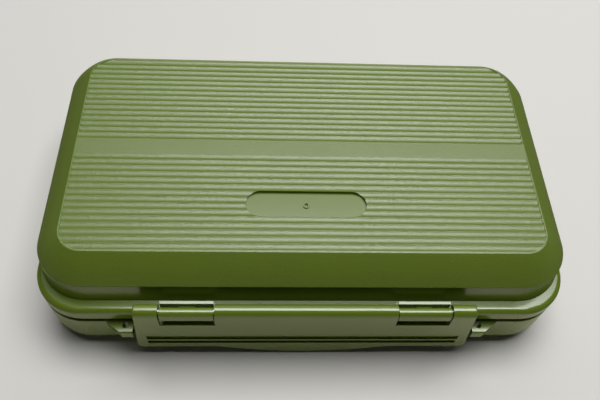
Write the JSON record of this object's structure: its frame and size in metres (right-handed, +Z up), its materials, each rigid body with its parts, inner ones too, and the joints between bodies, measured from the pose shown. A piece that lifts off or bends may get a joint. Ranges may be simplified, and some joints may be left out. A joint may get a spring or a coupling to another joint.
{
  "type": "fly box",
  "caption": "Pocket fly box: two moulded shells with rear hinges, a rim gasket, a front latch flap with grip grooves, a ribbed lid and rows of slit foam inside.",
  "frame": {"origin": "on the surface the box stands on, under the centre of its bounding box", "axes": "+X along the box's long side, +Z up through the lid, -Y to the front, where the latch is"},
  "size_m": [0.15, 0.0986, 0.036],
  "materials": {
    "shell_plastic": "olive green, injection moulded: fine matt texture on the lid's panel and shoulder, glossy walls",
    "seal_rubber": "soft black, matt",
    "pin_steel": "drawn wire, satin",
    "liner_sheet": "closed-cell foam sheet, matt, fine cells",
    "slit_foam": "closed-cell foam, matt, cut faces with cross slits"
  },
  "bodies": {
    "base": {"base_shell": "shell_plastic", "gasket": "seal_rubber", "hinge_pin_left": "pin_steel", "hinge_pin_right": "pin_steel", "base_liner": "liner_sheet", "base_foam_row_1": "slit_foam", "base_foam_row_2": "slit_foam", "base_foam_row_3": "slit_foam", "base_foam_row_4": "slit_foam", "base_foam_row_5": "slit_foam"},
    "lid": {"lid_shell": "shell_plastic", "latch_pin_left": "pin_steel", "latch_pin_right": "pin_steel", "lid_liner": "liner_sheet", "lid_foam_row_1": "slit_foam", "lid_foam_row_2": "slit_foam", "lid_foam_row_3": "slit_foam", "lid_foam_row_4": "slit_foam", "lid_foam_row_5": "slit_foam"},
    "latch": {"latch_flap": "shell_plastic"}
  },
  "joints": [
    {"name": "lid_hinge", "type": "hinge", "parent": "base", "child": "lid", "pos_m": [0, 0.04735, 0.017], "axis": [-1, 0, 0], "range_deg": [0, 170]},
    {"name": "latch_pivot", "type": "hinge", "parent": "lid", "child": "latch", "pos_m": [0, -0.04735, 0.026], "axis": [-1, 0, 0], "range_deg": [0, 220]}
  ]
}
